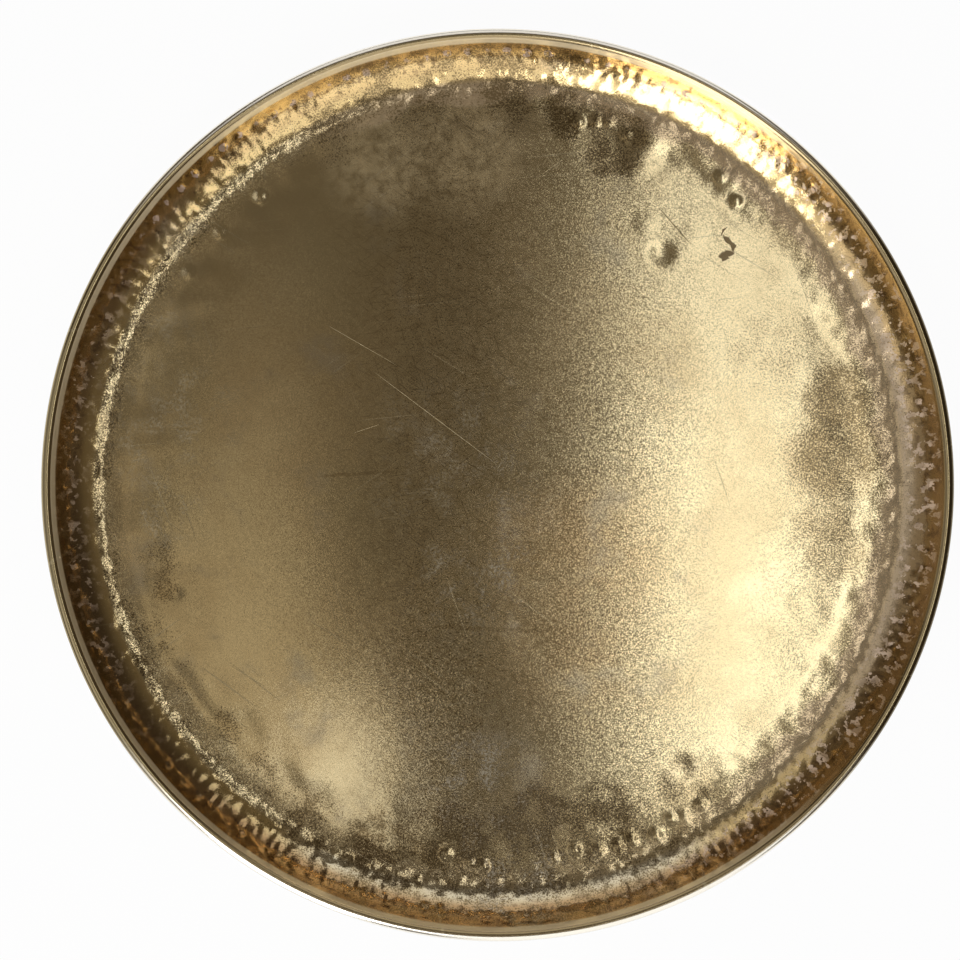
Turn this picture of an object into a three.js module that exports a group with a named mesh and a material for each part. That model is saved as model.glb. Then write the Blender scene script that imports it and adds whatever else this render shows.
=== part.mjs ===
// A round hand-hammered brass tray: one spun sheet whose edge is rolled over a steel wire, on four felt pads.
// Millimetres, +Z up. The origin is on the tray's axis, in the plane that the pads rest on.
import * as THREE from "three";

// Overall sizes
const RIM_DIAMETER = 400; // over the rolled edge
const TRAY_HEIGHT = 24; // from the resting plane to the top of the rolled edge

// The sheet and the curves that it is spun to, measured on its inside face
const SHEET = 0.9;
const WALL_LEAN = THREE.MathUtils.degToRad(20); // how far the wall leans out from upright
const COVE_RADIUS = 20; // between the shoulder and the wall
const SHOULDER_RADIUS = 150; // the slow rise at the edge of the floor
const SHOULDER_SLOPE = THREE.MathUtils.degToRad(5); // where the slow rise meets the cove

// The wired edge
const WIRE_DIAMETER = 2.4;
const WIRE_CLEARANCE = 0.3; // between the wire and the sheet rolled round it
const WIRE_BUTT_GAP = 1; // between the two ends of the wire
const CUT_EDGE_GAP = 0.3; // between the cut edge of the roll and the wall

// The felt pads
const PAD_COUNT = 4;
const PAD_DIAMETER = 20;
const PAD_THICKNESS = 2;
const PAD_INSET = 12; // from the edge of the flat floor to the edge of a pad

// How finely the curves are stepped
const AROUND_STEPS = 120;
const SHOULDER_STEPS = 2;
const COVE_STEPS = 6;
const ROLL_STEPS = 12;
const WIRE_SIDES = 10;
const PAD_SIDES = 32;

const QUARTER_TURN = Math.PI / 2;
const FULL_TURN = 2 * Math.PI;

// The roll of the edge, in the half plane of radius and height
const wallSlope = QUARTER_TURN - WALL_LEAN;
const rollBore = WIRE_DIAMETER / 2 + WIRE_CLEARANCE;
const rollRadius = rollBore + SHEET;
const rollCentre = new THREE.Vector2(RIM_DIAMETER / 2 - rollRadius, TRAY_HEIGHT - rollRadius);
const rollStart = QUARTER_TURN + wallSlope;
const rollTurn = FULL_TURN - Math.acos((rollBore - CUT_EDGE_GAP) / rollRadius);

// The floor, and the cove and shoulder that lead from the wall down to it
const floorTop = PAD_THICKNESS + SHEET;
const shoulderRise = SHOULDER_RADIUS * (1 - Math.cos(SHOULDER_SLOPE));
const coveRise = COVE_RADIUS * (Math.cos(SHOULDER_SLOPE) - Math.cos(wallSlope));
const wallTop = pointAt(rollCentre, rollRadius, rollStart);
const wallRise = wallTop.y - floorTop - shoulderRise - coveRise;
const wallFootRadius = wallTop.x - wallRise * Math.tan(WALL_LEAN);
const coveCentre = new THREE.Vector2(
  wallFootRadius - COVE_RADIUS * Math.sin(wallSlope),
  floorTop + shoulderRise + COVE_RADIUS * Math.cos(SHOULDER_SLOPE),
);
const floorRadius = coveCentre.x + (COVE_RADIUS - SHOULDER_RADIUS) * Math.sin(SHOULDER_SLOPE);
const shoulderCentre = new THREE.Vector2(floorRadius, floorTop + SHOULDER_RADIUS);

// Finishes
const BRASS = { color: 0xa88a4a, roughness: 0.32, metalness: 1 };
const STEEL = { color: 0x8b8d90, roughness: 0.45, metalness: 1 };
const FELT = { color: 0x2f2a25, roughness: 0.95, metalness: 0 };

function pointAt(centre, radius, angle) {
  return new THREE.Vector2(centre.x + radius * Math.cos(angle), centre.y + radius * Math.sin(angle));
}

function arc(centre, radius, start, turn, steps) {
  return Array.from({ length: steps + 1 }, (_, i) => pointAt(centre, radius, start + (turn * i) / steps));
}

// The same point reached from two arcs is kept once.
function withoutRepeats(points) {
  const TOUCHING = 1e-6;
  return points.filter((p, i) => i === 0 || p.distanceTo(points[i - 1]) > TOUCHING);
}

// One face of the sheet, from the axis out to the cut edge: depth 0 is the inside face, SHEET the outside one.
function sheetFace(depth) {
  return withoutRepeats([
    new THREE.Vector2(0, floorTop - depth),
    ...arc(shoulderCentre, SHOULDER_RADIUS + depth, -QUARTER_TURN, SHOULDER_SLOPE, SHOULDER_STEPS),
    ...arc(
      coveCentre,
      COVE_RADIUS + depth,
      SHOULDER_SLOPE - QUARTER_TURN,
      wallSlope - SHOULDER_SLOPE,
      COVE_STEPS,
    ),
    ...arc(rollCentre, rollRadius - depth, rollStart, -rollTurn, ROLL_STEPS),
  ]);
}

function named(name, geometry, finish) {
  const mesh = new THREE.Mesh(geometry, new THREE.MeshStandardMaterial(finish));
  mesh.name = name;
  return mesh;
}

// The pan: floor, shoulder, cove, wall and rolled edge, all one spun sheet
function trayPan() {
  const profile = [...sheetFace(SHEET), ...sheetFace(0).reverse()];
  const spun = new THREE.LatheGeometry(profile, AROUND_STEPS).rotateX(QUARTER_TURN);
  return named("tray_pan", spun, BRASS);
}

// The line of the rim wire: a ring that stops short of itself, where its two ends butt
class WireLine extends THREE.Curve {
  getPoint(t, target = new THREE.Vector3()) {
    const buttAngle = WIRE_BUTT_GAP / rollCentre.x;
    const angle = buttAngle / 2 + t * (FULL_TURN - buttAngle);
    return target.set(rollCentre.x * Math.cos(angle), rollCentre.x * Math.sin(angle), rollCentre.y);
  }
}

// The wire that stiffens the rolled edge, closed inside it
function rimWire() {
  const section = new THREE.Shape().absarc(0, 0, WIRE_DIAMETER / 2, 0, FULL_TURN);
  const drawn = new THREE.ExtrudeGeometry(section, {
    steps: AROUND_STEPS,
    curveSegments: WIRE_SIDES / 2,
    extrudePath: new WireLine(),
    bevelEnabled: false,
  });
  return named("rim_wire", drawn, STEEL);
}

// A felt pad stuck to the underside of the floor
function footPad(index) {
  const disc = new THREE.CylinderGeometry(PAD_DIAMETER / 2, PAD_DIAMETER / 2, PAD_THICKNESS, PAD_SIDES);
  const pad = named(`foot_pad_${index + 1}`, disc.rotateX(QUARTER_TURN), FELT);
  const angle = ((index + 0.5) * FULL_TURN) / PAD_COUNT;
  const reach = floorRadius - PAD_INSET - PAD_DIAMETER / 2;
  pad.position.set(reach * Math.cos(angle), reach * Math.sin(angle), PAD_THICKNESS / 2);
  return pad;
}

const tray = new THREE.Group();
tray.add(trayPan(), rimWire());
for (let index = 0; index < PAD_COUNT; index++) {
  tray.add(footPad(index));
}

export default tray;
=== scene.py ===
from collections import namedtuple
import math

import bmesh
import bpy
import numpy as np
from mathutils import Matrix, Vector


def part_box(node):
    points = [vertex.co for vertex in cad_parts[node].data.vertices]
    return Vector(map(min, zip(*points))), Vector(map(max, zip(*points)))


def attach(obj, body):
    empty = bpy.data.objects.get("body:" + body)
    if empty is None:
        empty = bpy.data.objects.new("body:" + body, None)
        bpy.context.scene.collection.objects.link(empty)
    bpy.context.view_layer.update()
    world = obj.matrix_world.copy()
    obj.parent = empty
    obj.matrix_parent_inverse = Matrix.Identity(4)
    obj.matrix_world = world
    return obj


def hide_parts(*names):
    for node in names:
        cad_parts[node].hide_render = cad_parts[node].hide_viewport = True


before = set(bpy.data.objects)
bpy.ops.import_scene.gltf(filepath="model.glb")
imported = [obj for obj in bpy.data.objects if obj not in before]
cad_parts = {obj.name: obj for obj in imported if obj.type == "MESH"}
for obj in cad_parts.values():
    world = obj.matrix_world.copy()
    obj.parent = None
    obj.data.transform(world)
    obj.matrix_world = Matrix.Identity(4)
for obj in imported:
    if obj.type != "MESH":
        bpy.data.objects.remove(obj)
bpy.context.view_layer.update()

# Sizes in metres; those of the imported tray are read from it
MM = 0.001
PAN_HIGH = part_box("tray_pan")[1]
PAD_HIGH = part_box("foot_pad_1")[1]
RIM_RADIUS = PAN_HIGH.x
RIM_TOP = PAN_HIGH.z
PAD_COUNT = 4

# The sheet's section, as the solid tray has it
SHEET = 0.9 * MM
WALL_SLOPE = math.radians(70)
COVE_RADIUS = 20 * MM
SHOULDER_RADIUS = 150 * MM
SHOULDER_SLOPE = math.radians(5)
ROLL_RADIUS = 2.4 * MM
ROLL_TURN = math.radians(300)
FLOOR_TOP = PAD_HIGH.z + SHEET

# The photograph's frame, in its own pixels, and the camera's distance above the rolled edge
IMAGE_SIDE = 960
RIM_CENTRE_PIXEL = Vector((497.6, 484.9))
RIM_RADIUS_PIXELS = 456.4
METRES_PER_PIXEL = RIM_RADIUS / RIM_RADIUS_PIXELS
CAMERA_ABOVE_RIM = 1.25
SENSOR_WIDTH = 36

SEED = 7
FULL_TURN = 2 * math.pi
QUARTER_TURN = math.pi / 2


# The sheet's section: where the rolled edge, wall, cove and shoulder lie


def polar(centre, radius, angle):
    return centre + radius * Vector((math.cos(angle), math.sin(angle)))


ROLL_CENTRE = Vector((RIM_RADIUS - ROLL_RADIUS, RIM_TOP - ROLL_RADIUS))
ROLL_START = QUARTER_TURN + WALL_SLOPE
WALL_TOP = polar(ROLL_CENTRE, ROLL_RADIUS, ROLL_START)
SHOULDER_RISE = SHOULDER_RADIUS * (1 - math.cos(SHOULDER_SLOPE))
COVE_RISE = COVE_RADIUS * (math.cos(SHOULDER_SLOPE) - math.cos(WALL_SLOPE))
WALL_RISE = WALL_TOP.y - FLOOR_TOP - SHOULDER_RISE - COVE_RISE
WALL_FOOT_RADIUS = WALL_TOP.x - WALL_RISE / math.tan(WALL_SLOPE)
COVE_CENTRE = Vector((
    WALL_FOOT_RADIUS - COVE_RADIUS * math.sin(WALL_SLOPE),
    FLOOR_TOP + SHOULDER_RISE + COVE_RADIUS * math.cos(SHOULDER_SLOPE),
))
FLOOR_RADIUS = COVE_CENTRE.x + (COVE_RADIUS - SHOULDER_RADIUS) * math.sin(SHOULDER_SLOPE)
SHOULDER_CENTRE = Vector((FLOOR_RADIUS, FLOOR_TOP + SHOULDER_RADIUS))
SHOULDER_LENGTH = SHOULDER_RADIUS * SHOULDER_SLOPE
COVE_LENGTH = COVE_RADIUS * (WALL_SLOPE - SHOULDER_SLOPE)
WALL_LENGTH = WALL_RISE / math.sin(WALL_SLOPE)
BAND_LENGTH = SHOULDER_LENGTH + COVE_LENGTH + WALL_LENGTH


def band_slope(arc):
    """The slope of the band at a distance along the sheet from the edge of the flat floor."""
    if arc <= 0:
        return 0.0
    if arc < SHOULDER_LENGTH:
        return arc / SHOULDER_RADIUS
    return min(SHOULDER_SLOPE + (arc - SHOULDER_LENGTH) / COVE_RADIUS, WALL_SLOPE)


def sheet_point(arc, depth):
    """(radius, height) on the sheet at that distance along it, and that depth below its inside face."""
    slope = band_slope(arc)
    if arc <= 0:
        inside = Vector((FLOOR_RADIUS + arc, FLOOR_TOP))
    elif arc < SHOULDER_LENGTH:
        inside = polar(SHOULDER_CENTRE, SHOULDER_RADIUS, slope - QUARTER_TURN)
    else:
        straight = max(arc - SHOULDER_LENGTH - COVE_LENGTH, 0)
        inside = polar(COVE_CENTRE, COVE_RADIUS, slope - QUARTER_TURN)
        inside += straight * Vector((math.cos(slope), math.sin(slope)))
    return inside + depth * Vector((math.sin(slope), -math.cos(slope)))


def cove_arc(radius):
    """How far along the sheet the cove reaches a radius."""
    slope = math.asin((radius - COVE_CENTRE.x) / COVE_RADIUS)
    return SHOULDER_LENGTH + COVE_RADIUS * (slope - SHOULDER_SLOPE)


def smooth_step(x):
    x = np.clip(x, 0, 1)
    return x * x * (3 - 2 * x)


# The pan's mesh: stretches of the section, spun through a part of the turn, copied round and bridged

WEDGES = 4
TOUCHING = 0.002 * MM
INNER_FLOOR_END = -60 * MM
OUTER_FLOOR_START = INNER_FLOOR_END + 2 * MM
OUTER_FLOOR_END = -1.5 * MM

# Steps round the whole turn, and pieces along the section
INNER_FLOOR_STEPS, INNER_FLOOR_PIECES = 180, 24
OUTER_FLOOR_STEPS, OUTER_FLOOR_PIECES = 540, 34
BAND_STEPS, BAND_PIECES = 1080, 46
EDGE_STEPS, OUTSIDE_PIECES = 360, 20
UNDERSIDE_STEPS, UNDERSIDE_PIECES = 180, 5

# The rolled edge's first point past the wall, as a share of the roll, and its points on either face
ROLL_FIRST = 0.04
ROLL_OUTER_POINTS, ROLL_INNER_POINTS = 20, 8

# A stretch of the section: its steps round the tray, its points, how far along the sheet each one is,
# whether the hammer moves it, and whether it lies on the upper face
Stretch = namedtuple("Stretch", "steps points arcs give inside")


def sheet_stretch(steps, start, end, pieces, depth, give):
    arcs = np.linspace(start, end, pieces + 1).tolist()
    return Stretch(steps, [sheet_point(arc, depth) for arc in arcs], arcs, give, float(depth == 0))


def rolled_edge():
    """Over the wire on the outside, round the cut edge, and back along the inside of the roll."""
    points = []
    for radius, turns in (
        (ROLL_RADIUS, np.linspace(ROLL_FIRST, 1, ROLL_OUTER_POINTS).tolist()),
        (ROLL_RADIUS - SHEET, np.linspace(1, ROLL_FIRST, ROLL_INNER_POINTS).tolist()),
    ):
        points += [polar(ROLL_CENTRE, radius, ROLL_START - turn * ROLL_TURN) for turn in turns]
    return Stretch(EDGE_STEPS, points, [BAND_LENGTH] * len(points), 0, 1.0)


def spin_wedge(bm, stretch, station):
    """Draws a stretch as a line of points and spins it through one wedge."""
    layers = bm.verts.layers.float
    line = []
    for number, (point, arc) in enumerate(zip(stretch.points, stretch.arcs)):
        vert = bm.verts.new((point.x, 0, point.y))
        vert[layers["arc"]] = arc
        vert[layers["give"]] = stretch.give
        vert[layers["station"]] = station + number
        vert[layers["inside"]] = stretch.inside
        line.append(vert)
    edges = [bm.edges.new(pair) for pair in zip(line, line[1:])]
    bmesh.ops.spin(
        bm, geom=line + edges, cent=(0, 0, 0), axis=(0, 0, 1),
        angle=FULL_TURN / WEDGES, steps=stretch.steps // WEDGES,
    )


def copy_round(bm):
    """Doubles the wedge until it closes on itself."""
    wedges = 1
    while wedges < WEDGES:
        copy = bmesh.ops.duplicate(bm, geom=bm.verts[:] + bm.edges[:] + bm.faces[:])
        verts = [part for part in copy["geom"] if isinstance(part, bmesh.types.BMVert)]
        turn = Matrix.Rotation(FULL_TURN * wedges / WEDGES, 3, "Z")
        bmesh.ops.rotate(bm, verts=verts, cent=(0, 0, 0), matrix=turn)
        wedges *= 2
    bmesh.ops.remove_doubles(bm, verts=bm.verts, dist=TOUCHING)


def bridge_stations(bm, first, second):
    """Joins the open ring at one station to the open ring at the next."""
    station = bm.verts.layers.float["station"]
    rings = [
        edge for edge in bm.edges
        if edge.is_boundary and all(vert[station] in (first, second) for vert in edge.verts)
    ]
    bmesh.ops.bridge_loops(bm, edges=rings)


def new_object(name, bm, material):
    """Makes a shape into an object with a finish."""
    mesh = bpy.data.meshes.new(name)
    bm.to_mesh(mesh)
    bm.free()
    mesh.materials.append(material)
    piece = bpy.data.objects.new(name, mesh)
    bpy.context.scene.collection.objects.link(piece)
    return piece


def pan_shape():
    stretches = (
        sheet_stretch(INNER_FLOOR_STEPS, -FLOOR_RADIUS, INNER_FLOOR_END, INNER_FLOOR_PIECES, 0, 1),
        sheet_stretch(OUTER_FLOOR_STEPS, OUTER_FLOOR_START, OUTER_FLOOR_END, OUTER_FLOOR_PIECES, 0, 1),
        sheet_stretch(BAND_STEPS, 0, BAND_LENGTH, BAND_PIECES, 0, 1),
        rolled_edge(),
        sheet_stretch(EDGE_STEPS, BAND_LENGTH, 0, OUTSIDE_PIECES, SHEET, 1),
        sheet_stretch(UNDERSIDE_STEPS, OUTER_FLOOR_END, -FLOOR_RADIUS, UNDERSIDE_PIECES, SHEET, 0),
    )
    bm = bmesh.new()
    for name in ("arc", "give", "station", "inside"):
        bm.verts.layers.float.new(name)
    starts = []
    station = 0
    for stretch in stretches:
        spin_wedge(bm, stretch, station)
        starts.append(station)
        station += len(stretch.points)
    copy_round(bm)
    for start in starts[1:]:
        bridge_stations(bm, start - 1, start)
    bmesh.ops.recalc_face_normals(bm, faces=bm.faces)
    return bm


# Hammering: what the maker's hammer and years of use did to the sheet

EDGE_FADE = 2.5 * MM
DEEP_MARK = 0.3 * MM


class Sheet:
    """The pan's points by angle and distance along the sheet, and how far each is pushed up off it."""

    def __init__(self, mesh):
        self.mesh = mesh
        self.count = len(mesh.vertices)
        places = np.zeros(self.count * 3, np.float32)
        mesh.vertices.foreach_get("co", places)
        self.places = places.reshape(-1, 3).astype(float)
        self.arc = self.layer("arc")
        self.give = self.layer("give")
        self.angle = np.arctan2(self.places[:, 1], self.places[:, 0])
        self.radius = np.hypot(self.places[:, 0], self.places[:, 1])
        self.push = np.zeros(self.count)
        self.hollow = np.zeros(self.count)
        self.dimple = np.zeros(self.count)
        order = np.argsort(self.angle)
        self.by_turn = np.tile(order, 3)
        self.turns = np.concatenate([self.angle[order] + turn for turn in (-FULL_TURN, 0, FULL_TURN)])

    def layer(self, name):
        values = np.zeros(self.count, np.float32)
        self.mesh.attributes[name].data.foreach_get("value", values)
        return values.astype(float)

    def near(self, angle, arc, width, height):
        """The points in an oval, and how far each is from its middle: squared, 1 at the oval's edge."""
        reach = width / max(sheet_point(arc, 0).x, width)
        first, last = np.searchsorted(self.turns, (angle - reach, angle + reach))
        points = self.by_turn[first:last]
        across = (self.turns[first:last] - angle) * self.radius[points] * 2 / width
        along = (self.arc[points] - arc) * 2 / height
        away = across * across + along * along
        inside = away < 1
        return points[inside], away[inside]

    def strike(self, angle, arc, width, height, depth):
        """A hammer mark: a shallow bowl, with a crease where it cuts into its neighbours."""
        points, away = self.near(angle, arc, width, height)
        self.hollow[points] = np.minimum(self.hollow[points], depth * (away - 1))

    def swell(self, angle, arc, width, height, rise):
        """A soft bump, or a soft dent where rise is below 0."""
        points, away = self.near(angle, arc, width, height)
        self.push[points] += rise * (1 - away) ** 2

    def ripple(self, random, wavelength, height, waves, where):
        """Soft waves that run in all directions."""
        field = np.zeros(self.count)
        for _ in range(waves):
            heading = np.array(Vector(random.normal(size=3)).normalized())
            length = wavelength * random.uniform(0.7, 1.4)
            field += np.cos(FULL_TURN * self.places @ heading / length + random.uniform(0, FULL_TURN))
        self.push += height * field * math.sqrt(2 / waves) * where

    def settle(self):
        """Moves the points, and leaves the marks' depth on the mesh for its finish."""
        held = smooth_step((BAND_LENGTH - self.arc) / EDGE_FADE)
        push = (self.push + self.hollow) * self.give * held
        slope = np.array([band_slope(arc) for arc in self.arc])
        self.places[:, 0] -= push * np.sin(slope) * np.cos(self.angle)
        self.places[:, 1] -= push * np.sin(slope) * np.sin(self.angle)
        self.places[:, 2] += push * np.cos(slope)
        self.mesh.vertices.foreach_set("co", self.places.astype(np.float32).ravel())
        for name, depth in (("mark", self.hollow), ("dimple", self.dimple)):
            layer = self.mesh.attributes.new(name, "FLOAT", "POINT")
            layer.data.foreach_set("value", (-depth / DEEP_MARK).astype(np.float32))
        for name in ("arc", "give", "station"):
            self.mesh.attributes.remove(self.mesh.attributes[name])
        self.mesh.update()


# Where the hammer bit deepest and least, as angles round the tray
DEEPEST_AT = math.radians(247)
SHALLOWEST_AT = math.radians(30)

# Rows of hammer marks in millimetres: the ring's radius, the marks' pitch, width, height and depth,
# and how far a mark strays from its place. The first is the even row under the rolled edge
HAMMER_ROWS = (
    (191.5, 9, 4.2, 6, 0.42, 0.8), (188.5, 4.6, 3.6, 9, 0.30, 2), (184.5, 8.5, 6, 6.5, 0.24, 2.2),
    (182.5, 5.0, 3.8, 8, 0.24, 3), (180.5, 11, 8, 8, 0.16, 3.5),
)

# Runs of bumps along the floor's edge: first and last angle in degrees, and how many
BUMP_RUNS = ((70, 78, 4), (50, 54, 2), (279, 303, 9), (262, 268, 2), (130, 146, 3))
BUMP_WIDTH, BUMP_LENGTH = 7.5 * MM, 8 * MM

# Dents and bumps in the floor, in millimetres: x, y, width, length outwards and rise
FLOOR_DENTS = (
    (73, 103, 15, 15, -0.30), (66, 116, 14, 14, 0.10), (68, 154, 24, 42, 0.55), (86, 110, 18, 18, 0.08),
    (104, 136, 12, 18, 0.2), (122, 75, 8, 8, -0.06), (-143, -48, 9, 9, -0.1), (82, -125, 14, 14, -0.14),
    (89, -138, 12, 16, -0.14), (-12, -168, 7, 7, 0.2),
)

# Waves: their length and height in millimetres, and how many run across each other
FLOOR_WAVES = ((150, 0.05, 24), (60, 0.012, 24))
FLOOR_EDGE_WAVES = ((34, 0.03, 24), (15, 0.026, 24))
TURN_UP_WAVES = ((7, 0.014, 40),)
BAND_WAVES = ((9, 0.05, 40), (4.5, 0.04, 60))

# Where the sheet rises early: towards which angle in degrees, then where along the sheet it starts, is
# steepest and ends, and its height, in millimetres
EARLY_RISES = ((0, -5, 1, 16, 0.40), (175, 11.6, 13.6, 17.3, 0.33))


def ripples(sheet, random, waves, where):
    for wavelength, height, count in waves:
        sheet.ripple(random, wavelength * MM, height * MM, count, where)


def this_side(sheet, towards):
    """1 on the side of the tray that lies towards an angle in degrees, fading to 0 past its middle."""
    return smooth_step((np.cos(sheet.angle - math.radians(towards)) + 0.1) / 0.5)


def how_deep(angle):
    """Seen from above, the hammer bit deeper at the lower left, and less at the upper right."""
    deeper = 0.9 * math.exp(8 * (math.cos(angle - DEEPEST_AT) - 1))
    shallower = 0.55 * math.exp(4 * (math.cos(angle - SHALLOWEST_AT) - 1))
    return 0.8 + deeper - shallower


def hammer_row(sheet, random, row):
    """Marks in a ring, each a little off its place and size."""
    radius, pitch, width, height, depth, stray = (value * MM for value in row)
    count = round(FULL_TURN * radius / pitch)
    arc = cove_arc(radius)
    for number in range(count):
        angle = FULL_TURN * number / count + random.uniform(-stray, stray) / radius
        angle = angle % FULL_TURN - math.pi
        sheet.strike(
            angle,
            arc + random.uniform(-stray, stray),
            width * random.uniform(0.7, 1.3),
            height * random.uniform(0.7, 1.3),
            depth * random.uniform(0.2, 1.4) * how_deep(angle),
        )


def hammered_wall(sheet, random):
    """An even row under the rolled edge, and looser rows down the cove."""
    on_band = smooth_step((sheet.arc - SHOULDER_LENGTH + 4 * MM) / (6 * MM))
    ripples(sheet, random, BAND_WAVES, on_band)
    hammer_row(sheet, random, HAMMER_ROWS[0])
    sheet.dimple = sheet.hollow.copy()
    for row in HAMMER_ROWS[1:]:
        hammer_row(sheet, random, row)


def floor_edge_bumps(sheet, random):
    """Round bumps in short runs along the floor's edge, left by the stake under the hammer."""
    for first, last, count in BUMP_RUNS:
        for angle in np.linspace(first, last, count):
            sheet.swell(
                math.radians(angle + random.uniform(-0.7, 0.7)),
                random.uniform(2, 8) * MM, BUMP_WIDTH, BUMP_LENGTH, random.uniform(0.18, 0.4) * MM,
            )


def floor_dents(sheet):
    for x, y, width, length, rise in FLOOR_DENTS:
        away = math.hypot(x, y) * MM
        sheet.swell(math.atan2(y, x), away - FLOOR_RADIUS, width * MM, length * MM, rise * MM)


def wavy_floor(sheet, random):
    """The floor isn't true: it rolls a little all over, and more where the band pulls at its edge."""
    on_floor = smooth_step(-sheet.arc / (20 * MM) + 0.5)
    by_edge = smooth_step((sheet.arc + 30 * MM) / (30 * MM)) * smooth_step((30 * MM - sheet.arc) / (10 * MM))
    ripples(sheet, random, FLOOR_WAVES, on_floor)
    ripples(sheet, random, FLOOR_EDGE_WAVES, by_edge)


def ragged_edge(sheet, random):
    """To the right, small waves break up the line where the floor turns up."""
    by_line = smooth_step((sheet.arc + 10 * MM) / (10 * MM)) * smooth_step((20 * MM - sheet.arc) / (8 * MM))
    ripples(sheet, random, TURN_UP_WAVES, by_line * this_side(sheet, 0))


def early_rise(sheet, towards, start, steepest, end, height):
    """To one side the sheet starts to rise a little early: its extra slope grows, then falls to nothing."""
    growing = (steepest - start) * np.clip((sheet.arc - start) / (steepest - start), 0, 1) ** 2
    falling = (end - steepest) * (1 - np.clip((end - sheet.arc) / (end - steepest), 0, 1) ** 2)
    rise = (growing + falling) / (end - start) * smooth_step((34 * MM - sheet.arc) / (14 * MM))
    sheet.push += height * rise * this_side(sheet, towards)


def hammered_pan():
    pan = new_object("hammered_pan", pan_shape(), aged_brass())
    pan.data.shade_smooth()
    random = np.random.RandomState(SEED)
    sheet = Sheet(pan.data)
    wavy_floor(sheet, random)
    for towards, *lengths in EARLY_RISES:
        early_rise(sheet, towards, *(length * MM for length in lengths))
    ragged_edge(sheet, np.random.RandomState(SEED + 1))
    hammered_wall(sheet, random)
    floor_edge_bumps(sheet, random)
    floor_dents(sheet)
    sheet.settle()
    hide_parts("tray_pan")
    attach(pan, "root")


# Shader building


def join(tree, value, socket):
    if isinstance(value, bpy.types.NodeSocket):
        tree.links.new(value, socket)
    else:
        socket.default_value = value


def add(tree, kind, inputs, **settings):
    """Adds a node; each input is a value or another node's socket."""
    node = tree.nodes.new(kind)
    for name, value in settings.items():
        setattr(node, name, value)
    for name, value in inputs.items():
        join(tree, value, node.inputs[name])
    return node


def maths(tree, operation, first, second=0.0):
    return add(tree, "ShaderNodeMath", {0: first, 1: second}, operation=operation).outputs[0]


def vector_maths(tree, operation, first, second=(0, 0, 0)):
    inputs = {0: first, 1: second}
    return add(tree, "ShaderNodeVectorMath", inputs, operation=operation).outputs["Vector"]


def scaled(tree, vector, factor):
    inputs = {0: vector, "Scale": factor}
    return add(tree, "ShaderNodeVectorMath", inputs, operation="SCALE").outputs["Vector"]


def length_of(tree, vector):
    return add(tree, "ShaderNodeVectorMath", {0: vector}, operation="LENGTH").outputs["Value"]


def from_above(tree, place):
    """The place with its height left out."""
    return vector_maths(tree, "MULTIPLY", place, (1, 1, 0))


def to_all_sides(tree, colour):
    """A texture's colour as a short vector that points to any side."""
    return vector_maths(tree, "SUBTRACT", colour, (0.5, 0.5, 0.5))


def ranged(tree, value, low, high, to_low=0.0, to_high=1.0):
    """Goes smoothly from one number to another while a value goes from low to high, or from high to low."""
    inputs = {"Value": value, "From Min": low, "From Max": high, "To Min": to_low, "To Max": to_high}
    return add(tree, "ShaderNodeMapRange", inputs, interpolation_type="SMOOTHSTEP").outputs["Result"]


def graded(tree, mask, off, full):
    """One number off the mask, and another where it is full."""
    return ranged(tree, mask, 0.0, 1.0, off, full)


def joined(tree, operation, masks):
    total = masks[0]
    for mask in masks[1:]:
        total = maths(tree, operation, total, mask)
    return total


def all_of(tree, *masks):
    return joined(tree, "MULTIPLY", masks)


def any_of(tree, *masks):
    return joined(tree, "MAXIMUM", masks)


def mixed(tree, share, first, second, most=1.0):
    """The first colour, with the second laid over it by a mask that counts for at most a given share."""
    share = share if most == 1.0 else maths(tree, "MULTIPLY", share, most)
    return add(tree, "ShaderNodeMix", {0: share, 6: first, 7: second}, data_type="RGBA").outputs[2]


def object_place(tree):
    return add(tree, "ShaderNodeTexCoord", {}).outputs["Object"]


def on_mesh(tree, name):
    """A number that the mesh carries at each of its points."""
    return add(tree, "ShaderNodeAttribute", {}, attribute_name=name).outputs["Fac"]


def noise(tree, place, scale, detail=2.0, roughness=0.5, output=0):
    inputs = {"Vector": place, "Scale": scale, "Detail": detail, "Roughness": roughness}
    return add(tree, "ShaderNodeTexNoise", inputs).outputs[output]


def effect(name, inputs, outputs, vectors=()):
    """An empty node group with its sockets."""
    tree = bpy.data.node_groups.new(name, "ShaderNodeTree")
    for label, value in inputs.items():
        tree.interface.new_socket(label, in_out="INPUT", socket_type="NodeSocketFloat").default_value = value
    for label in outputs:
        tree.interface.new_socket(label, in_out="OUTPUT", socket_type="NodeSocketFloat")
    for label in vectors:
        tree.interface.new_socket(label, in_out="OUTPUT", socket_type="NodeSocketVector")
    return tree, tree.nodes.new("NodeGroupInput").outputs, tree.nodes.new("NodeGroupOutput").inputs


def placed(tree, group, values):
    node = add(tree, "ShaderNodeGroup", {}, node_tree=group)
    for label, value in values.items():
        join(tree, value, node.inputs[label])
    return node.outputs


def grain_effect():
    """Fine satin grain: facets that tip to all sides, a height for bump, and dark specks in the pits."""
    inputs = {"Grains per metre": 1000.0, "Tarnish": 0.0}
    tree, given, out = effect("Satin grain", inputs, ("Height", "Specks"), ("Facets",))
    place = object_place(tree)
    fine = noise(tree, place, given["Grains per metre"], 1.0, 0.6)
    pits = noise(tree, place, maths(tree, "MULTIPLY", given["Grains per metre"], 0.55), 2.0, 0.65)
    level = graded(tree, given["Tarnish"], 0.28, 0.6)
    cells = add(tree, "ShaderNodeTexVoronoi", {"Vector": place, "Scale": given["Grains per metre"]})
    tree.links.new(fine, out["Height"])
    tree.links.new(to_all_sides(tree, cells.outputs["Color"]), out["Facets"])
    tree.links.new(ranged(tree, pits, level, maths(tree, "SUBTRACT", level, 0.1)), out["Specks"])
    return tree


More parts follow.
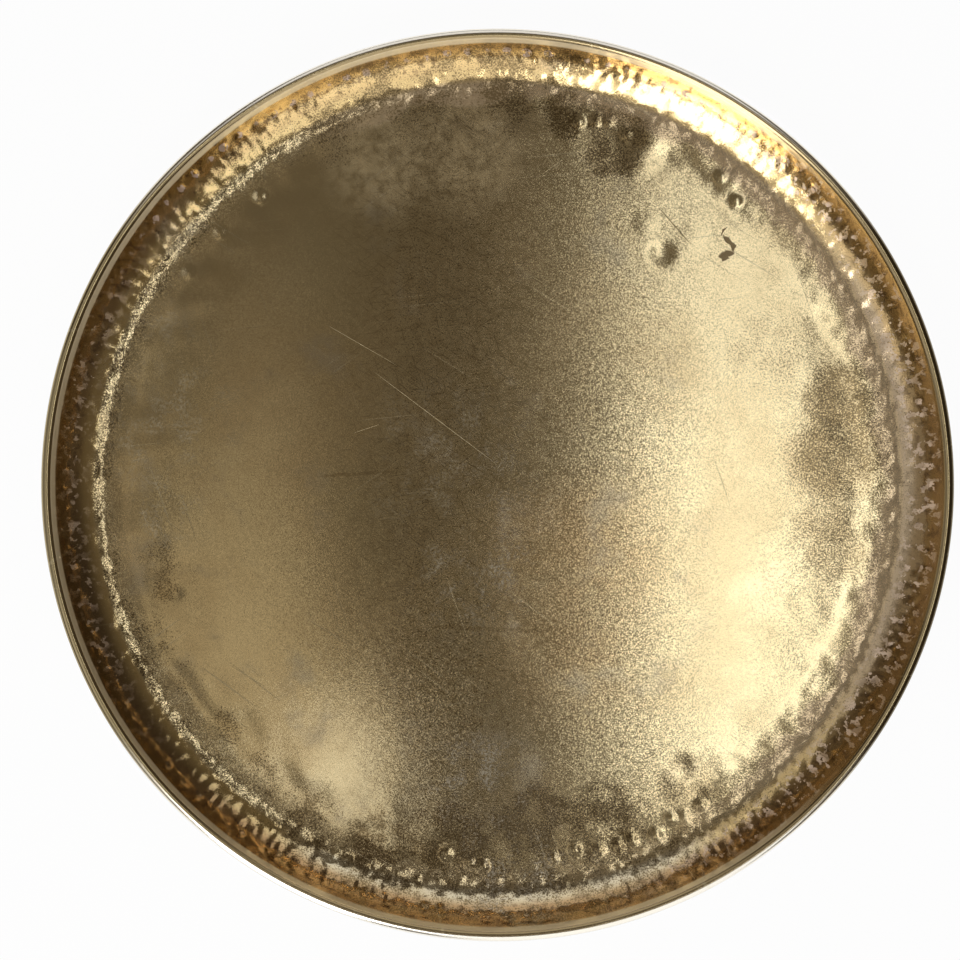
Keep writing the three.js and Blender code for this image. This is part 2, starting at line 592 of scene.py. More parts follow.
def mottle_effect():
    """Cloudy patches, from soft to well broken up."""
    inputs = {"Patches per metre": 20.0, "Low": 0.4, "High": 0.65}
    tree, given, out = effect("Mottling", inputs, ("Mask",))
    cloud = noise(tree, object_place(tree), given["Patches per metre"], 7.0, 0.62)
    tree.links.new(ranged(tree, cloud, given["Low"], given["High"]), out["Mask"])
    return tree


SCRATCH_HEADINGS = (0.62, 1.9, -0.55, 0.1, 2.5)


def scratch_effect():
    """Fine straight scratches in five directions, broken up along their length."""
    inputs = {"Length": 70 * MM, "Width": 1.1 * MM, "Threshold": 0.7}
    tree, given, out = effect("Scratches", inputs, ("Mask",))
    place = object_place(tree)
    sides = {0: given["Length"], 1: given["Width"], 2: given["Length"]}
    size = add(tree, "ShaderNodeCombineXYZ", sides).outputs[0]
    edge = maths(tree, "ADD", given["Threshold"], 0.06)
    lines = []
    for heading in SCRATCH_HEADINGS:
        turned = add(
            tree, "ShaderNodeMapping", {"Vector": place, "Rotation": (0, 0, heading), "Scale": size},
            vector_type="TEXTURE",
        ).outputs["Vector"]
        lines.append(ranged(tree, noise(tree, turned, 1.0, 1.0, 0.4), given["Threshold"], edge))
    tree.links.new(any_of(tree, *lines), out["Mask"])
    return tree


GRAIN = grain_effect()
MOTTLE = mottle_effect()
SCRATCH = scratch_effect()


def mottling(tree, per_metre, low, high):
    return placed(tree, MOTTLE, {"Patches per metre": per_metre, "Low": low, "High": high})["Mask"]


def new_material(name):
    material = bpy.data.materials.new(name)
    material.use_nodes = True
    tree = material.node_tree
    return material, tree, tree.nodes["Principled BSDF"]


def finish_with(tree, shader, values):
    for name, value in values.items():
        tree.links.new(value, shader.inputs[name])


def grain_bump(tree, height, distance):
    return add(tree, "ShaderNodeBump", {"Height": height, "Distance": distance}).outputs["Normal"]


def faceted(tree, normal, facets, tip):
    """A normal tipped by the grain's facets, each to its own side."""
    tipped = vector_maths(tree, "ADD", normal, scaled(tree, facets, tip))
    return vector_maths(tree, "NORMALIZE", tipped)


def spot(tree, flat, x, y, reach, turn=0.0, width=None):
    """How near a place is to the middle of an oval on the tray: 0 in the middle, 1 at its edge."""
    local = add(
        tree, "ShaderNodeMapping",
        {
            "Vector": flat, "Location": (x * MM, y * MM, 0), "Rotation": (0, 0, math.radians(turn)),
            "Scale": (reach * MM, (width or reach) * MM, MM),
        },
        vector_type="TEXTURE",
    ).outputs["Vector"]
    return length_of(tree, local)


def soft_spots(tree, flat, places):
    """A mask that is strongest in the middle of each place and fades to 0 at its reach."""
    return any_of(tree, *(
        ranged(tree, spot(tree, flat, x, y, reach), 1.0, 0.25, 0.0, strength)
        for x, y, reach, strength in places
    ))


def sharp_marks(tree, flat, marks):
    """A mask of long or blot-like marks, which end sharply."""
    return any_of(tree, *(
        ranged(tree, spot(tree, flat, x, y, length, turn, width), 1.0, 0.75)
        for x, y, turn, length, width in marks
    ))


def ragged_place(tree, place, per_metre, reach):
    """The place seen from above, shifted here and there, so that marks on it have ragged edges."""
    shift = to_all_sides(tree, noise(tree, place, per_metre, 3.0, output="Color"))
    return from_above(tree, vector_maths(tree, "ADD", place, scaled(tree, shift, 2 * reach)))


# The aged brass. Spots that age has marked or left clean, and the front of the cove, which is paler and
# silvery, in millimetres from the tray's centre:
# x, y, reach and how strongly
TARNISHED = (
    (-74, 154, 26, 0.7), (-36, 167, 30, 0.85), (5, 172, 30, 0.9), (36, 168, 30, 1.0), (58, 158, 28, 0.8),
    (52, 146, 26, 0.9), (119, 60, 42, 0.6), (152, 14, 44, 0.92), (152, 38, 30, 1.05), (150, -24, 42, 0.76),
    (140, -40, 28, 0.4), (-21, -162, 44, 1.0), (16, -150, 44, 0.9), (48, -152, 40, 0.9),
    (-52, -162, 36, 0.95), (-84, -150, 30, 0.9), (84, -133, 32, 0.7), (118, -112, 26, 0.5),
    (-151, -34, 20, 0.72), (-147, -47, 14, 0.75), (-152, -68, 20, 0.65), (-140, -88, 22, 0.7),
    (-124, -110, 22, 0.75), (-106, -130, 24, 0.75),
)
GREYED = (
    (-8, -138, 40, 1.0), (-12, -42, 40, 0.8), (6, -172, 40, 1.0), (-20, 10, 60, 0.5),
    (-150, 30, 50, 0.5), (-152, 72, 30, 0.4), (-154, -12, 34, 0.5),
)
SILVERED = ((0, -182, 70, 1.0), (60, -172, 50, 1.0), (-60, -172, 50, 1.0))
BRIGHT = ((84, 158, 68, 1.0),)
CLEARED = ((118, 126, 46, 0.8),)
HAZED = ((-50, 148, 44, 0.6), (-14, 150, 44, 0.66), (-158, 48, 20, 0.3), (-150, 74, 18, 0.3))
WARMED = ((34, -33, 55, 1.0), (30, -75, 45, 0.9))
DULLED = ((-16, -120, 58, 1.0), (-28, -86, 36, 0.8))

# A patch that stayed golden: x, y, half length, turn in degrees and half width
GOLDEN_PATCH = (-91, -125, 51, 0, 61)

# Blots and scratches, in millimetres: x, y, heading in degrees, half length and half width
FLAKE = (
    (102.7, 108.6, -42, 3.4, 1.1), (104.9, 106.0, 100, 2.0, 1.2), (102.2, 102.9, 10, 3.6, 1.3),
    (100.9, 101.3, -10, 2.4, 1.4), (100.5, 112.7, 60, 2.4, 0.5),
)
DARK_SCRATCHES = ((79, 115, -49, 12, 0.35),)
BROWN_STREAKS = ((-4, -64, -2, 30, 1.2), (-60, 5, 4, 20, 1.0))
BRIGHT_SCRATCHES = ((-28, 30, -37, 38, 0.16), (-60, 62, -30, 20, 0.12), (-58, 25, 18, 7, 0.12))

# Rings, in millimetres from the tray's axis: where each starts and where it is full
COVE_RING = (178, 181)
STROKED_RING = (178, 187)
WALL_RING = (183, 188)
DARK_WALL_RING = (179, 186)
BEAD_RING = (195.3, 196.0)
UNDER_BEAD_RING = (195.3, 194.3)
PALE_BEAD_RING = (197.2, 198.0)
DARK_BEAD_RING = (197.3, 198.1)
CLEAN_RING = (173, 178)
PEPPERED_RING = (150, 181)
TIPPED_RING = (165, 176)
BUMPY_RING = (160, 182)
CALM_RING = (172, 160)

# Narrow rings: where each starts, is full, starts to fade and ends
LEFT_LINE = (168, 172, 178, 182)
LIT_LINE = (193.7, 194.5, 195.5, 196.0)
CREASE = (195.6, 196.0, 196.5, 197.0)

# Sides of the tray, in millimetres to the right or to the back of its centre: where each starts and is full
RIGHT = (20, 150)
BACK = (110, 160)
FRONT = (-110, -160)
MIDDLE_LINE = -22

# Colours of the brass, of what has settled on it, and of the painted highlights, reflections and shade on its
# wall, cove, floor's edge and rolled edge
PALE_BRASS = (0.91, 0.775, 0.475, 1)
DEEP_BRASS = (0.85, 0.69, 0.40, 1)
OLIVE_BRASS = (0.62, 0.50, 0.30, 1)
HAZE = (0.86, 0.67, 0.38, 1)
WARM_BRASS = (0.80, 0.57, 0.29, 1)
DULL_BRASS = (0.52, 0.44, 0.29, 1)
BROWN_FILM = (0.52, 0.39, 0.20, 1)
HAIRLINE_BROWN = (0.40, 0.31, 0.17, 1)
SHOULDER_SHADE_BROWN = (0.60, 0.45, 0.30, 1)
COVE_GOLD = (0.84, 0.61, 0.26, 1)
COVE_SHADE_TAN = (0.58, 0.46, 0.33, 1)
WALL_BRONZE = (0.60, 0.41, 0.20, 1)
SIDE_SHADE_BRONZE = (0.40, 0.28, 0.15, 1)
WALL_HIGHLIGHT_GOLD = (0.86, 0.62, 0.30, 1)
SHADE_BLACK_BRONZE = (0.12, 0.085, 0.05, 1)
BACK_HIGHLIGHT_GOLD = (0.92, 0.67, 0.32, 1)
FRONT_SHADE_BRONZE = (0.50, 0.31, 0.16, 1)
FRONT_COVE_SILVER = (0.84, 0.77, 0.58, 1)
STAIN_BROWN = (0.42, 0.31, 0.17, 1)
WORN_GREY = (0.54, 0.50, 0.42, 1)
DUST_GREY = (0.52, 0.49, 0.43, 1)
PIT_BROWN = (0.22, 0.14, 0.08, 1)
DIMPLE_REFLECTION_PINK = (0.60, 0.47, 0.42, 1)
STROKE_REFLECTION_PINK = (0.84, 0.67, 0.55, 1)
SPECK_BROWN = (0.20, 0.14, 0.06, 1)
BEAD_BRASS = (0.80, 0.66, 0.38, 1)
BEAD_SHADE_BLACK = (0.10, 0.075, 0.04, 1)
BEAD_HIGHLIGHT_WHITE = (0.97, 0.95, 0.90, 1)
LIT_BRASS = (0.88, 0.78, 0.58, 1)
CREASE_SHADE_BROWN = (0.20, 0.14, 0.07, 1)
SCRATCH_BRASS = (0.88, 0.80, 0.58, 1)
STREAK_BROWN = (0.40, 0.29, 0.14, 1)
DARK_LINE_BROWN = (0.24, 0.17, 0.08, 1)
FLAKE_BROWN = (0.33, 0.25, 0.14, 1)


class BrassFinish:
    """The masks of the aged brass by their place on the tray, and what each does to the finish."""

    def __init__(self, tree):
        self.tree = tree
        self.find_places()
        self.find_sides()
        self.find_bands()
        self.colour_wall()
        self.line_bead()
        self.stain_floor()
        self.cloud_floor()
        self.mark_wall()
        self.scratch()

    def by(self, distance, start, full, *ends):
        """A mask by a distance on the tray, given in millimetres."""
        return ranged(self.tree, distance, start * MM, full * MM, *ends)

    def ring(self, start, full, fading, end):
        return self.where(self.by(self.radius, start, full), self.by(self.radius, end, fading))

    def where(self, *masks):
        """A mask that holds where all of the given ones do."""
        return all_of(self.tree, *masks)

    def spots(self, places):
        return soft_spots(self.tree, self.upper, places)

    def speckle(self, place, per_metre, detail, roughness, low, high):
        return ranged(self.tree, noise(self.tree, place, per_metre, detail, roughness), low, high)

    def find_places(self):
        """Where a point lies. For a point of the underside, the marks of use lie out of reach."""
        tree = self.tree
        self.place = object_place(tree)
        self.x, self.y, _ = add(tree, "ShaderNodeSeparateXYZ", {0: self.place}).outputs
        self.front_back = maths(tree, "ABSOLUTE", self.y)
        self.radius = length_of(tree, from_above(tree, self.place))
        self.inside = on_mesh(tree, "inside")
        out_of_reach = maths(tree, "SUBTRACT", 1.0, self.inside)
        out_of_reach = add(tree, "ShaderNodeCombineXYZ", {0: out_of_reach}).outputs[0]
        in_use = vector_maths(tree, "ADD", self.place, out_of_reach)
        self.upper = from_above(tree, in_use)
        self.ragged = ragged_place(tree, in_use, 420.0, 1.5 * MM)
        self.upright = vector_maths(tree, "MULTIPLY", self.place, (1, 1, 0.25))

    def find_sides(self):
        tree = self.tree
        self.to_right = self.by(self.x, *RIGHT)
        # The upper right, where the wall carries a painted highlight.
        self.highlight_side = self.where(self.to_right, self.by(self.y, 10, 80))
        off_middle = maths(tree, "ABSOLUTE", maths(tree, "SUBTRACT", self.x, MIDDLE_LINE * MM))
        self.middle = self.where(self.by(off_middle, 70, 10), self.inside)
        self.calm = self.where(self.by(self.x, 0, -80), self.by(self.radius, *CALM_RING))

    def find_bands(self):
        """The rings of the tray from the floor's edge outwards; the band along the floor's edge carries
        painted shade.
        """
        wandering = length_of(self.tree, ragged_place(self.tree, self.place, 60.0, 9 * MM))
        # Painted shade: a tan-brown band along the floor's edge, full on the right half, fading out towards
        # the left and weaker at the front, partly matt so that the lamps light it.
        self.shoulder = self.where(
            self.by(wandering, 167.5, 172.5), self.by(self.radius, 190, 178),
            self.by(self.x, -120, -20), self.by(self.y, -160, -110, 0.3, 1.0),
        )
        self.left_line = self.where(self.by(self.x, -60, -140), self.ring(*LEFT_LINE))
        self.cove = self.by(self.radius, *COVE_RING)
        self.wall = self.by(self.radius, *WALL_RING)
        self.under_bead = self.by(self.radius, *UNDER_BEAD_RING)
        self.bead = self.by(self.radius, *BEAD_RING)

    def colour_wall(self):
        """The cove and wall change colour round the tray: painted shade makes the cove tan-brown on the right
        and the wall darker at its sides and front and near black on the lower left, painted highlights make
        the wall gold at the upper right and back, and the cove is paler and silvery at the front.
        """
        tree = self.tree
        # Painted shade: the cove tan-brown on the right, where it mirrors the dim room.
        self.right_cove_shade = self.where(self.cove, self.to_right, self.by(self.front_back, 130, 70))
        # A paler, silvery cove at the front.
        self.silvered = self.where(self.spots(SILVERED), self.cove, self.by(self.radius, 188, 183))
        # Painted shade: the wall darker bronze at the left and right sides, only a quarter as much at the
        # upper right.
        self.side_shade = self.where(
            self.wall, self.by(self.front_back, 130, 50), graded(tree, self.highlight_side, 1.0, 0.25),
        )
        # Painted highlight: the wall gold at the upper right.
        self.wall_highlight = self.where(self.highlight_side, self.wall)
        # Painted shade: the cove and wall near black on the left, towards the front.
        self.left_wall_shade = self.where(
            self.by(self.x, -90, -150), self.by(self.y, 30, -40), self.by(self.radius, *DARK_WALL_RING),
        )
        # Painted highlight: the wall gold at the back.
        self.back_wall_highlight = self.where(self.wall, self.by(self.y, *BACK))
        # Painted shade: the wall darker bronze at the front.
        self.front_wall_shade = self.where(self.wall, self.by(self.y, *FRONT))

    def line_bead(self):
        """Painted light and shade on and beside the rolled edge: shade in the crease where the wall meets it,
        a highlight line along the top of the wall, and near-white and near-black reflections on its outside.
        """
        front_or_back = self.by(self.front_back, 100, 160)
        # Painted shade: a dark brown line in the crease where the wall meets the rolled edge.
        self.crease = self.ring(*CREASE)
        self.lit_line = self.where(self.ring(*LIT_LINE), self.by(self.x, 160, 110))
        # Painted reflection: the outside of the rolled edge near white at the front and back.
        self.bead_highlight = self.where(self.by(self.radius, *PALE_BEAD_RING), front_or_back)
        # Painted reflection: the outside of the rolled edge near black to the left and right, strongest on
        # the right.
        self.bead_shade = self.where(
            self.by(self.radius, *DARK_BEAD_RING), self.by(self.x, -60, 60, 0.6, 1.0),
            graded(self.tree, front_or_back, 1.0, 0.0),
        )

    def stain_floor(self):
        """Tarnish, as specks in the grain and as a brown film, and the specks along the floor's edge."""
        tree = self.tree
        bright = self.where(self.spots(BRIGHT), self.by(self.radius, *CLEAN_RING))
        clean = graded(tree, any_of(tree, bright, self.spots(CLEARED)), 1.0, 0.2)
        peppered = self.where(
            self.by(self.radius, *PEPPERED_RING, 0.22, 0.85), graded(tree, self.to_right, 1.0, 0.6),
            any_of(tree, self.by(self.x, -140, -60, 0.45, 1.0), self.left_line),
        )
        stains = self.where(any_of(tree, self.spots(TARNISHED), peppered), clean)
        self.patches = mottling(tree, 90.0, 0.22, 0.72)
        thinnest = graded(tree, self.to_right, 0.45, 0.78)
        tarnish = self.where(stains, graded(tree, self.patches, thinnest, 1.0))
        tarnish = any_of(tree, tarnish, maths(tree, "MULTIPLY", self.middle, 0.52))
        self.grain = placed(tree, GRAIN, {"Grains per metre": 2600.0, "Tarnish": tarnish})
        self.stained = ranged(tree, tarnish, 0.45, 1.0)

    def cloud_floor(self):
        """Soft changes of colour on the floor."""
        tree = self.tree
        self.clouds = mottling(tree, 14.0, 0.36, 0.68)
        self.worn = self.where(mottling(tree, 30.0, 0.54, 0.72), graded(tree, self.to_right, 1.0, 0.0))
        self.hazed = self.where(self.spots(HAZED), mottling(tree, 180.0, 0.15, 0.65))
        dusty = self.speckle(self.place, 700.0, 3.0, 0.6, 0.38, 0.6)
        self.greyed = self.where(mottling(tree, 90.0, 0.42, 0.66), self.spots(GREYED), dusty)
        self.warmed = self.where(self.spots(WARMED), mottling(tree, 40.0, 0.25, 0.65))
        off_patch = ranged(tree, spot(tree, self.ragged, *GOLDEN_PATCH), 0.9, 1.0)
        self.dulled = self.where(self.spots(DULLED), off_patch)
        self.browned = self.where(mottling(tree, 260.0, 0.42, 0.62), self.middle)

    def mark_wall(self):
        """Pale strokes, dark pits and dull dimples in the hammered wall; the pale strokes at the sides and
        the pinkish dimples at the back are painted reflections, partly matt so that the lamps light them.
        """
        tree = self.tree
        to_side = any_of(tree, self.to_right, self.by(self.x, -130, -180, 0.0, 0.5))
        # Painted reflection: pale pinkish strokes in the hammer marks on the right and far left, partly matt
        # so that the lamps light them.
        self.pale = self.where(
            self.speckle(self.upright, 280.0, 3.0, 0.6, 0.535, 0.57),
            ranged(tree, on_mesh(tree, "mark"), 0.0, 0.5, 0.5, 1.0),
            self.by(self.radius, *STROKED_RING), to_side, self.under_bead,
        )
        pits = self.speckle(self.upright, 300.0, 4.0, 0.6, 0.47, 0.36)
        self.dark = self.where(pits, self.wall, self.under_bead)
        broken = self.speckle(self.upright, 420.0, 2.0, 0.5, 0.38, 0.5)
        dimples = ranged(tree, on_mesh(tree, "dimple"), 0.05, 0.45)
        # Painted reflection: dull pinkish dimples in the top row of hammer marks, at the back.
        self.dimples = self.where(dimples, self.under_bead, broken, self.by(self.y, 60, 130))

    def scratch(self):
        """Scratches, streaks and the flake."""
        tree = self.tree
        hairlines = {"Length": 9 * MM, "Width": 0.55 * MM, "Threshold": 0.66}
        self.scratches = placed(tree, SCRATCH, {"Threshold": 0.74})["Mask"]
        self.fine_lines = self.where(placed(tree, SCRATCH, hairlines)["Mask"], self.middle)
        self.flake = sharp_marks(tree, self.ragged, FLAKE)
        self.streaks = self.where(sharp_marks(tree, self.ragged, BROWN_STREAKS), self.patches)
        self.dark_lines = sharp_marks(tree, self.upper, DARK_SCRATCHES)
        self.bright_lines = sharp_marks(tree, self.upper, BRIGHT_SCRATCHES)

    def colour(self):
        """Each layer lies over the ones before it: its mask, its colour and the most that it covers."""
        colour = mixed(self.tree, self.clouds, PALE_BRASS, DEEP_BRASS)
        for mask, tint, most in (
            (self.middle, OLIVE_BRASS, 0.33),
            (self.hazed, HAZE, 0.7),
            (self.warmed, WARM_BRASS, 0.5),
            (self.dulled, DULL_BRASS, 0.6),
            (self.browned, BROWN_FILM, 0.35),
            (self.fine_lines, HAIRLINE_BROWN, 0.6),
            # Painted shade: tan-brown band along the floor's edge.
            (self.shoulder, SHOULDER_SHADE_BROWN, 0.65),
            (self.cove, COVE_GOLD, 0.7),
            # Painted shade: the cove tan-brown on the right.
            (self.right_cove_shade, COVE_SHADE_TAN, 0.8),
            (self.wall, WALL_BRONZE, 0.9),
            # Painted shade and highlights on the wall: darker sides, gold upper right, near black lower left,
            # gold back, darker front.
            (self.side_shade, SIDE_SHADE_BRONZE, 0.55),
            (self.wall_highlight, WALL_HIGHLIGHT_GOLD, 0.8),
            (self.left_wall_shade, SHADE_BLACK_BRONZE, 0.65),
            (self.back_wall_highlight, BACK_HIGHLIGHT_GOLD, 0.9),
            (self.front_wall_shade, FRONT_SHADE_BRONZE, 0.6),
            (self.silvered, FRONT_COVE_SILVER, 0.85),
            (self.stained, STAIN_BROWN, 0.6),
            (self.worn, WORN_GREY, 0.35),
            (self.greyed, DUST_GREY, 0.7),
            (self.dark, PIT_BROWN, 0.65),
            # Painted reflections in the hammered wall: pinkish dimples at the back and pale strokes at the
            # sides.
            (self.dimples, DIMPLE_REFLECTION_PINK, 0.85),
            (self.pale, STROKE_REFLECTION_PINK, 0.85),
            (self.grain["Specks"], SPECK_BROWN, 0.8),
            (self.bead, BEAD_BRASS, 0.9),
            # Painted light and shade on the rolled edge: dark and pale reflections on its outside, a
            # highlight line along the wall's top and shade in the crease.
            (self.bead_shade, BEAD_SHADE_BLACK, 0.9),
            (self.bead_highlight, BEAD_HIGHLIGHT_WHITE, 0.8),
            (self.lit_line, LIT_BRASS, 0.85),
            (self.crease, CREASE_SHADE_BROWN, 0.7),
            (self.scratches, SCRATCH_BRASS, 0.2),
            (self.streaks, STREAK_BROWN, 0.6),
            (self.dark_lines, DARK_LINE_BROWN, 0.7),
            (self.flake, FLAKE_BROWN, 0.95),
        ):
            colour = mixed(self.tree, mask, colour, tint, most)
        return colour

    def roughness(self):
        """Satin, rougher where it is worn or marked, and smoother on the calm left of the floor."""
        roughness = graded(self.tree, self.clouds, 0.12, 0.15)
        for mask, more in (
            (self.worn, 0.05), (self.cove, 0.03), (self.pale, 0.2), (self.flake, 0.4),
            (self.bright_lines, 0.15), (self.scratches, 0.06), (self.calm, -0.04),
        ):
            roughness = maths(self.tree, "ADD", roughness, maths(self.tree, "MULTIPLY", mask, more))
        return roughness

    def metal(self):
        """Bare metal, but for what lies on it and the painted reflections and shade, which are partly matt so
        that the lamps light them: each mask with the share of metal that it leaves.
        """
        return self.where(*(
            graded(self.tree, mask, 1.0, left)
            for mask, left in (
                (self.pale, 0.4), (self.greyed, 0.65), (self.dimples, 0.6), (self.shoulder, 0.75),
                (self.hazed, 0.64), (self.bright_lines, 0.6), (self.lit_line, 0.45),
            )
        ))

    def normal(self):
        """The grain's bump and its tipped facets, coarser towards the wall and fine on the bead."""
        tree = self.tree
        off_bead = graded(tree, self.bead, 1.0, 0.1)
        tip = self.where(
            self.by(self.radius, *TIPPED_RING, 0.042, 0.08), off_bead,
            graded(tree, self.calm, 1.0, 0.45), graded(tree, self.left_line, 1.0, 1.5),
        )
        strength = self.where(self.by(self.radius, *BUMPY_RING, 0.08, 0.12), off_bead)
        height = maths(tree, "MULTIPLY", self.grain["Height"], strength)
        for mask, depth in ((self.scratches, 0.04), (self.flake, 0.6)):
            height = maths(tree, "SUBTRACT", height, maths(tree, "MULTIPLY", mask, depth))
        return faceted(tree, grain_bump(tree, height, 0.1 * MM), self.grain["Facets"], tip)


def aged_brass():
    """Satin brass gone olive and brown with age: bronze in the hammered wall, grey where it is worn, with
    painted highlights, reflections and shade on the wall, cove, floor's edge and rolled edge.
    """
    material, tree, shader = new_material("aged_brass")
    brass = BrassFinish(tree)
    finish_with(tree, shader, {
        "Base Color": brass.colour(), "Roughness": brass.roughness(),
        "Metallic": brass.metal(), "Normal": brass.normal(),
    })
    return material


BARE_STEEL = (0.52, 0.52, 0.53, 1)
RUST = (0.24, 0.13, 0.07, 1)
FELT_DARK = (0.035, 0.030, 0.026, 1)
FELT_FIBRE = (0.13, 0.11, 0.095, 1)
FELT_SHEEN = 0.4


def wire_steel():
    """Drawn steel wire with a little rust."""
    material, tree, shader = new_material("wire_steel")
    grain = placed(tree, GRAIN, {"Grains per metre": 2500.0})
    rust = mottling(tree, 180.0, 0.5, 0.7)
    finish_with(tree, shader, {
        "Base Color": mixed(tree, rust, BARE_STEEL, RUST),
        "Roughness": graded(tree, rust, 0.35, 0.8),
        "Metallic": graded(tree, rust, 1.0, 0.2),
        "Normal": grain_bump(tree, grain["Height"], 0.03 * MM),
    })
    return material


def pressed_felt():
    """Dark pressed wool felt, flecked with paler fibres."""
    material, tree, shader = new_material("pressed_felt")
    grain = placed(tree, GRAIN, {"Grains per metre": 1600.0})
    flecks = mottling(tree, 700.0, 0.52, 0.7)
    finish_with(tree, shader, {
        "Base Color": mixed(tree, flecks, FELT_DARK, FELT_FIBRE),
        "Roughness": graded(tree, flecks, 0.85, 1.0),
        "Normal": grain_bump(tree, grain["Height"], 0.2 * MM),
    })
    shader.inputs["Sheen Weight"].default_value = FELT_SHEEN
    return material


# The felt pads

PAD_SIDES = 72
PAD_INSET = 0.2 * MM
PAD_ROUNDING = 0.35 * MM
LEVEL = 0.1 * MM


def felt_pad(number, felt):
    """A disc of felt with its edges pressed round."""
    low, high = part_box(f"foot_pad_{number}")
    middle = (low + high) / 2
    radius, thickness = (high.x - low.x) / 2, high.z - low.z
    bm = bmesh.new()
    bmesh.ops.create_circle(bm, cap_ends=True, segments=PAD_SIDES, radius=radius - PAD_INSET)
    raised = bmesh.ops.extrude_face_region(bm, geom=bm.faces[:])
    top = [part for part in raised["geom"] if isinstance(part, bmesh.types.BMVert)]
    bmesh.ops.translate(bm, verts=top, vec=(0, 0, thickness))
    rims = [edge for edge in bm.edges if abs(edge.verts[0].co.z - edge.verts[1].co.z) < LEVEL]
    bmesh.ops.bevel(
        bm, geom=rims, offset=PAD_ROUNDING, offset_type="OFFSET", segments=3,
        profile=0.5, affect="EDGES", material=-1,
    )
    bmesh.ops.recalc_face_normals(bm, faces=bm.faces)
    bmesh.ops.translate(bm, verts=bm.verts, vec=(middle.x, middle.y, low.z))
    pad = new_object(f"felt_pad_{number}", bm, felt)
    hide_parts(f"foot_pad_{number}")
    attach(pad, "root")


# The stage: a pale floor, soft light and the camera

STAGE_RADIUS = 12
STAGE_SIDES = 96
STAGE_DROP = 0.1 * MM
STAGE_GREY = (0.8, 0.8, 0.8, 1)
STAGE_WHITE = (1, 1, 1, 1)
STAGE_GLOW = 0.96
OVERHEAD = 2.0

# Soft boxes that lie flat overhead, in metres: name, x, y, width, length, turn in degrees and brightness
OVERHEAD_BOXES = (
    ("right_overhead_front", 0.297, -0.17, 0.21, 0.44, 1, 1.72),
    ("right_overhead_back", 0.295, 0.23, 0.196, 0.36, 1, 1.13),
    ("left_overhead", -0.16, -0.36, 0.13, 0.2, 12, 0.66),
    ("left_ceiling", -1.03, 0.3, 1.02, 2.2, 0, 0.38),
)

# Soft boxes to the sides: name, azimuth and elevation in degrees, then distance, width and height
# in metres, and brightness
SIDE_BOXES = (
    ("front_strip", 242, 34, 1.4, 0.5, 1.55, 4.7),
    ("front_left_wall", 212, 40, 1.5, 0.7, 0.8, 0.62),
    ("front_wall", 285, 32, 1.5, 1.1, 2.0, 1.0),
    ("back_wall", 88, 34, 1.5, 1.5, 1.25, 0.7),
    ("left_low", 180, 25, 1.6, 0.9, 1.6, 0.25),
)

# The soft glow to the left overhead, in millimetres where the tray's floor mirrors it: x, y, turn in degrees,
# half length, half width and brightness
SKY_GLOWS = ((-118, -40, 80, 180, 46, 0.33), (-86, -105, -56, 112, 58, 0.34))
SKY_COLOUR = (0.106, 0.088, 0.066, 1)
GLOW_COLOUR = (1.0, 0.86, 0.66, 1)


def pale_floor():
    material, tree, shader = new_material("pale_floor")
    tree.nodes.remove(shader)
    rays = add(tree, "ShaderNodeLightPath", {}).outputs
    seen = any_of(tree, rays["Is Camera Ray"], rays["Is Glossy Ray"], rays["Is Transmission Ray"])
    matt = add(tree, "ShaderNodeBsdfDiffuse", {"Color": STAGE_GREY}).outputs[0]
    glow = add(tree, "ShaderNodeEmission", {"Color": STAGE_WHITE, "Strength": 1.0}).outputs[0]
    share = maths(tree, "MULTIPLY", seen, STAGE_GLOW)
    both = add(tree, "ShaderNodeMixShader", {0: share, 1: matt, 2: glow}).outputs[0]
    tree.links.new(both, tree.nodes["Material Output"].inputs["Surface"])
    bm = bmesh.new()
    just_below = Matrix.Translation((0, 0, -STAGE_DROP))
    bmesh.ops.create_circle(bm, cap_ends=True, segments=STAGE_SIDES, radius=STAGE_RADIUS, matrix=just_below)
    new_object("pale_floor", bm, material)


def soft_box(name, place, aim, width, height, brightness, turn=0.0):
    """A rectangular soft light that faces a point; brightness is how bright its face looks."""
    data = bpy.data.lights.new(name, "AREA")
    data.shape = "RECTANGLE"
    data.size, data.size_y = width, height
    data.energy = brightness * width * height * math.pi
    lamp = bpy.data.objects.new(name, data)
    facing = (aim - place).to_track_quat("-Z", "Y").to_matrix().to_4x4()
    lamp.matrix_world = Matrix.Translation(place) @ facing @ Matrix.Rotation(turn, 4, "Z")
    lamp.visible_camera = False
    bpy.context.scene.collection.objects.link(lamp)


def overhead_box(name, x, y, width, height, turn, brightness):
    """A soft box that lies flat overhead, turned by an angle in degrees."""
    place = Vector((x, y, OVERHEAD))
    soft_box(name, place, Vector((x, y, 0)), width, height, brightness, math.radians(turn))


def side_box(name, azimuth, elevation, distance, width, height, brightness):
    """A soft box to one side, aimed at the tray; the angles are in degrees as seen from its centre."""
    turn, rise = math.radians(azimuth), math.radians(elevation)
    away = Vector((math.cos(turn) * math.cos(rise), math.sin(turn) * math.cos(rise), math.sin(rise)))
    soft_box(name, distance * away, Vector((0, 0, 0)), width, height, brightness)


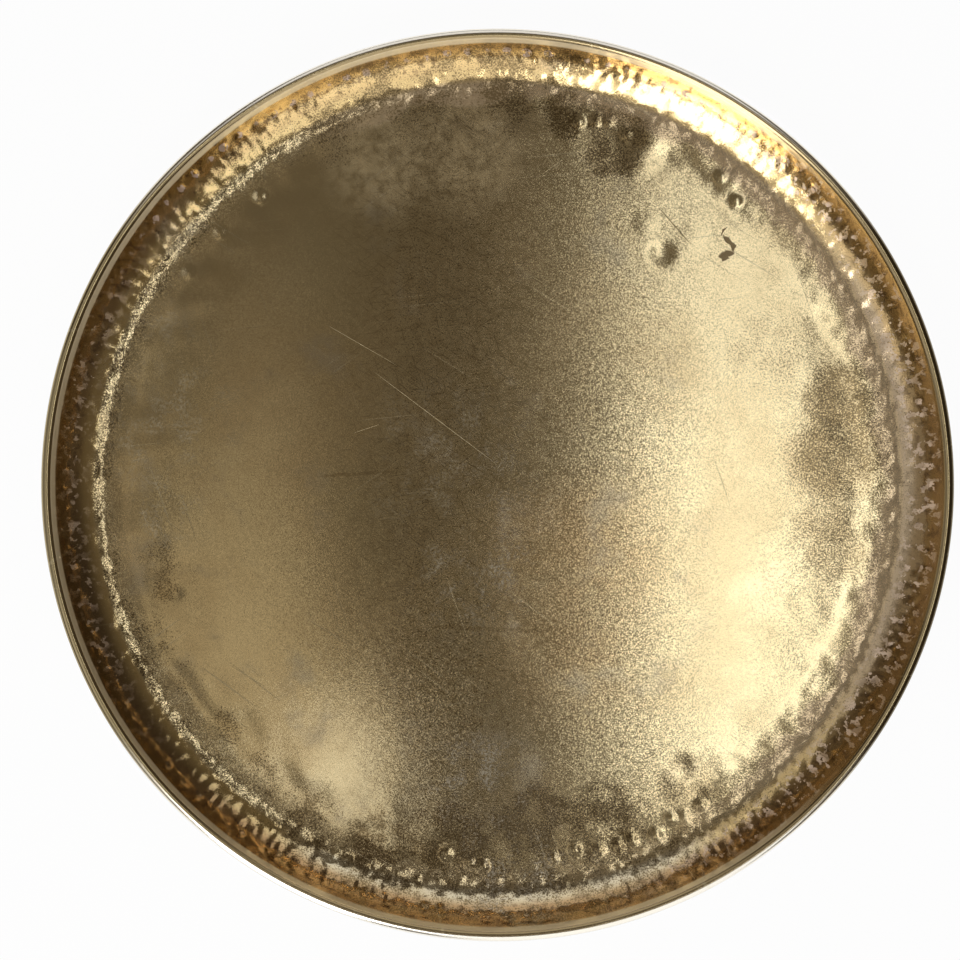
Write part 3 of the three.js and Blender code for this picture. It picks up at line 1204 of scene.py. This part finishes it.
def soft_sky():
    """A dim warm room, with a soft glow overhead to the left."""
    world = bpy.data.worlds.new("studio")
    world.use_nodes = True
    bpy.context.scene.world = world
    tree = world.node_tree
    direction = add(tree, "ShaderNodeTexCoord", {}).outputs["Generated"]
    towards = add(tree, "ShaderNodeSeparateXYZ", {0: direction}).outputs
    camera_height = ROLL_CENTRE.y + CAMERA_ABOVE_RIM - FLOOR_TOP
    across = maths(tree, "MULTIPLY", maths(tree, "DIVIDE", towards[0], towards[2]), camera_height)
    along = maths(tree, "MULTIPLY", maths(tree, "DIVIDE", towards[1], towards[2]), camera_height)
    mirrored = add(tree, "ShaderNodeCombineXYZ", {0: across, 1: along}).outputs[0]
    total = 0.0
    for x, y, turn, length, width, brightness in SKY_GLOWS:
        near = ranged(tree, spot(tree, mirrored, x, y, length, turn, width), 1.0, 0.0)
        total = maths(tree, "ADD", total, maths(tree, "MULTIPLY", near, brightness))
    glow = mixed(tree, total, SKY_COLOUR, GLOW_COLOUR)
    tree.links.new(glow, tree.nodes["Background"].inputs["Color"])


def studio_light():
    soft_sky()
    for box in OVERHEAD_BOXES:
        overhead_box(*box)
    for box in SIDE_BOXES:
        side_box(*box)


def top_camera():
    off_centre = (RIM_CENTRE_PIXEL - Vector((IMAGE_SIDE / 2, IMAGE_SIDE / 2))) * METRES_PER_PIXEL
    data = bpy.data.cameras.new("top_camera")
    data.sensor_width = SENSOR_WIDTH
    data.lens = SENSOR_WIDTH * CAMERA_ABOVE_RIM / (IMAGE_SIDE * METRES_PER_PIXEL)
    camera = bpy.data.objects.new("top_camera", data)
    camera.location = (-off_centre.x, off_centre.y, ROLL_CENTRE.y + CAMERA_ABOVE_RIM)
    bpy.context.scene.collection.objects.link(camera)
    bpy.context.scene.camera = camera


hammered_pan()
felt = pressed_felt()
for pad_number in range(1, PAD_COUNT + 1):
    felt_pad(pad_number, felt)
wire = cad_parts["rim_wire"]
wire.data.materials.clear()
wire.data.materials.append(wire_steel())
pale_floor()
studio_light()
top_camera()
bpy.context.scene.view_settings.view_transform = "Standard"
